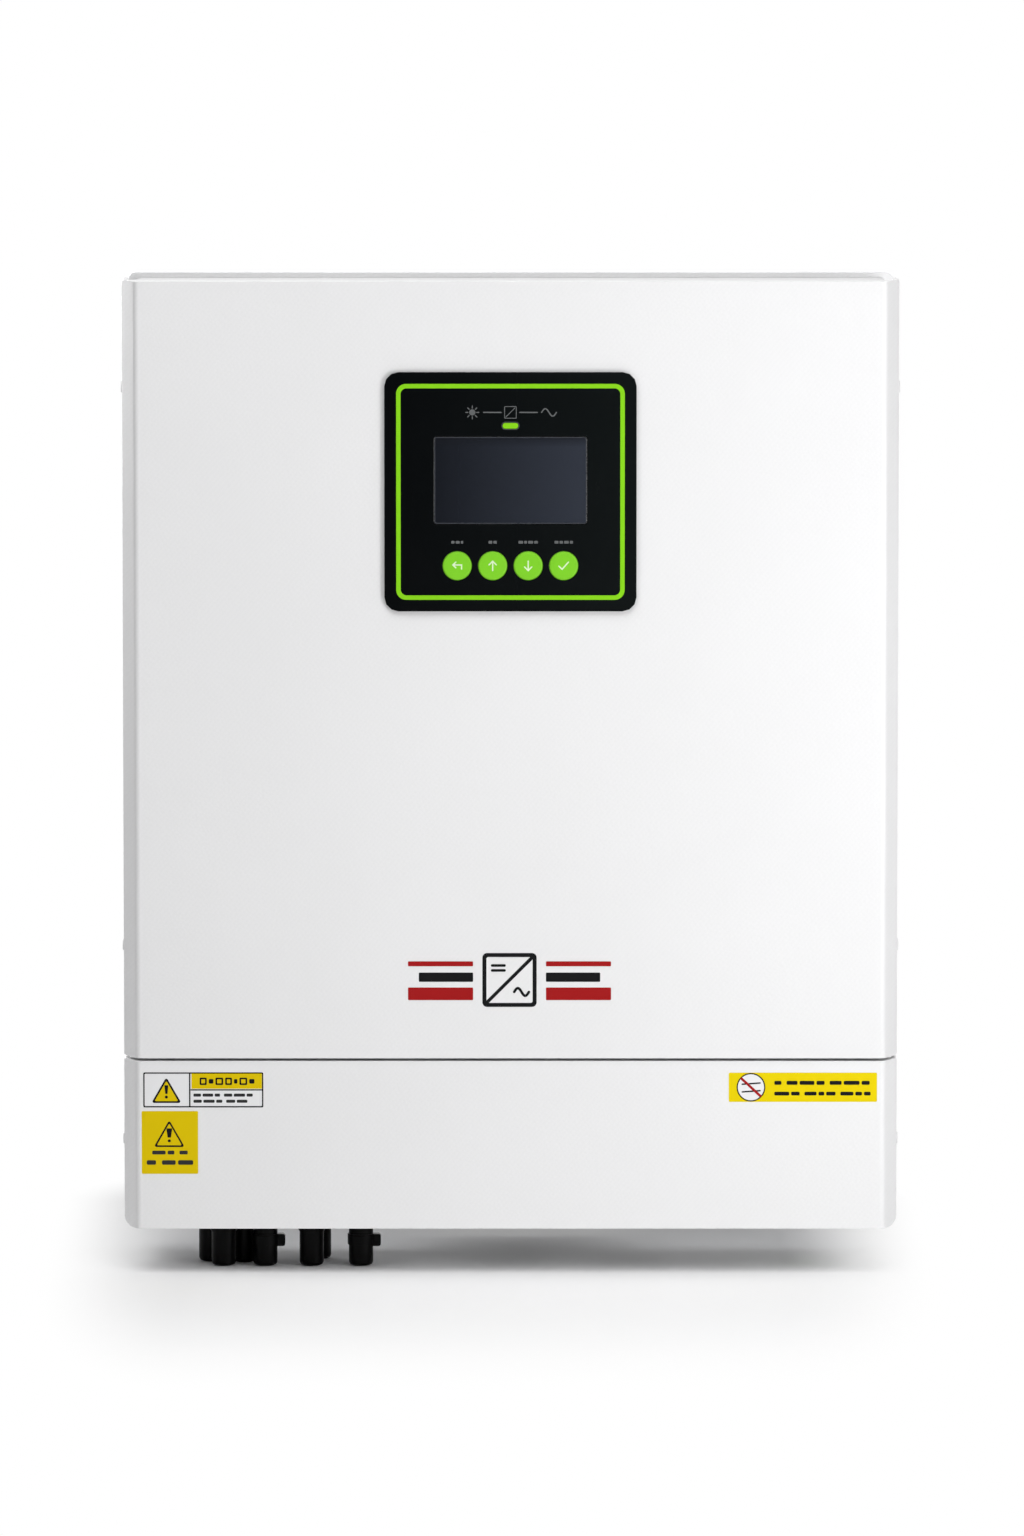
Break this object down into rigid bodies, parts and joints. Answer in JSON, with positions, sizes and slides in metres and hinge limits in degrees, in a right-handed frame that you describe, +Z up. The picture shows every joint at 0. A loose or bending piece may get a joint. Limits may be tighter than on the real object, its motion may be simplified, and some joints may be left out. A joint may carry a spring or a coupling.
{
  "type": "string inverter",
  "caption": "Wall-mounted hybrid string inverter: folded casing with display and keys, removable covers, finned rear heat sink, fans and sealed panel connectors below.",
  "frame": {"origin": "centre of the wall bracket's back face, on the wall", "axes": "+X to the right of someone facing the unit, +Y into the wall, +Z up"},
  "size_m": [0.5024, 0.1703, 0.643],
  "materials": {
    "white_paint": "fine textured powder coat",
    "aluminium": "satin",
    "steel": "zinc plated",
    "panel_black": "gloss",
    "lcd_lens": "gloss",
    "black_plastic": "satin",
    "green_key": "satin",
    "circuit_board": "solder resist",
    "rubber": "matt",
    "sleeve": "gloss",
    "terminal": "satin",
    "module": "satin"
  },
  "bodies": {
    "casing": {"ac_grommet": "rubber", "battery_grommet": "rubber", "battery_terminal": "terminal", "boost_inductor_1": "aluminium", "boost_inductor_2": "aluminium", "bus_capacitor_1": "sleeve", "bus_capacitor_2": "sleeve", "bus_capacitor_3": "sleeve", "bus_capacitor_4": "sleeve", "chassis": "white_paint", "control_board": "circuit_board", "cover_screw_1": "steel", "cover_screw_2": "steel", "cover_screw_3": "steel", "cover_screw_4": "steel", "cover_screw_5": "steel", "cover_screw_6": "steel", "fan_frame_1": "black_plastic", "fan_frame_2": "black_plastic", "fan_tray": "steel", "grid_terminal": "terminal", "hanger_rail": "steel", "heatsink": "aluminium", "load_terminal": "terminal", "lower_bracket": "steel", "power_board": "circuit_board", "power_module": "module", "pv_cap_1": "black_plastic", "pv_cap_2": "black_plastic", "pv_cap_3": "black_plastic", "pv_cap_4": "black_plastic", "pv_cap_5": "black_plastic", "pv_cap_6": "black_plastic", "pv_cap_7": "black_plastic", "pv_socket_1": "black_plastic", "pv_socket_2": "black_plastic", "pv_socket_3": "black_plastic", "pv_socket_4": "black_plastic", "pv_socket_5": "black_plastic", "pv_socket_6": "black_plastic", "pv_socket_7": "black_plastic", "rocker_housing": "black_plastic", "signal_ports": "steel", "terminal_board": "circuit_board", "wall_bracket": "steel"},
    "front_door": {"front_cover": "white_paint", "front_cover_gasket": "rubber", "display_bezel": "panel_black", "display_lens": "lcd_lens", "lcd_module": "steel", "keypad_board": "circuit_board"},
    "wiring_door": {"wiring_cover": "white_paint", "wiring_cover_gasket": "rubber"},
    "rocker": {"power_rocker": "green_key"},
    "rotor_1": {"fan_rotor_1": "black_plastic"},
    "rotor_2": {"fan_rotor_2": "black_plastic"},
    "key_back": {"button_back": "green_key"},
    "key_up": {"button_up": "green_key"},
    "key_down": {"button_down": "green_key"},
    "key_enter": {"button_enter": "green_key"}
  },
  "joints": [
    {"name": "front_cover_draw", "type": "slide", "parent": "casing", "child": "front_door", "axis": [0, -1, 0], "range_m": [0, 0.25]},
    {"name": "wiring_cover_draw", "type": "slide", "parent": "casing", "child": "wiring_door", "axis": [0, -1, 0], "range_m": [0, 0.2]},
    {"name": "key_back_press", "type": "slide", "parent": "front_door", "child": "key_back", "axis": [0, 1, 0], "range_m": [0, 0.0008], "stiffness_N_per_m": 1500, "springref_m": -0.0004},
    {"name": "key_up_press", "type": "slide", "parent": "front_door", "child": "key_up", "axis": [0, 1, 0], "range_m": [0, 0.0008], "stiffness_N_per_m": 1500, "springref_m": -0.0004},
    {"name": "key_down_press", "type": "slide", "parent": "front_door", "child": "key_down", "axis": [0, 1, 0], "range_m": [0, 0.0008], "stiffness_N_per_m": 1500, "springref_m": -0.0004},
    {"name": "key_enter_press", "type": "slide", "parent": "front_door", "child": "key_enter", "axis": [0, 1, 0], "range_m": [0, 0.0008], "stiffness_N_per_m": 1500, "springref_m": -0.0004},
    {"name": "power_rocker_tip", "type": "hinge", "parent": "casing", "child": "rocker", "pos_m": [0.2, -0.11, -0.488], "axis": [0, 1, 0], "range_deg": [0, 20]},
    {"name": "fan_1_spin", "type": "hinge", "parent": "casing", "child": "rotor_1", "pos_m": [-0.11, -0.0319, -0.316], "axis": [0, 0, 1], "continuous": true},
    {"name": "fan_2_spin", "type": "hinge", "parent": "casing", "child": "rotor_2", "pos_m": [0.11, -0.0319, -0.316], "axis": [0, 0, 1], "continuous": true}
  ]
}
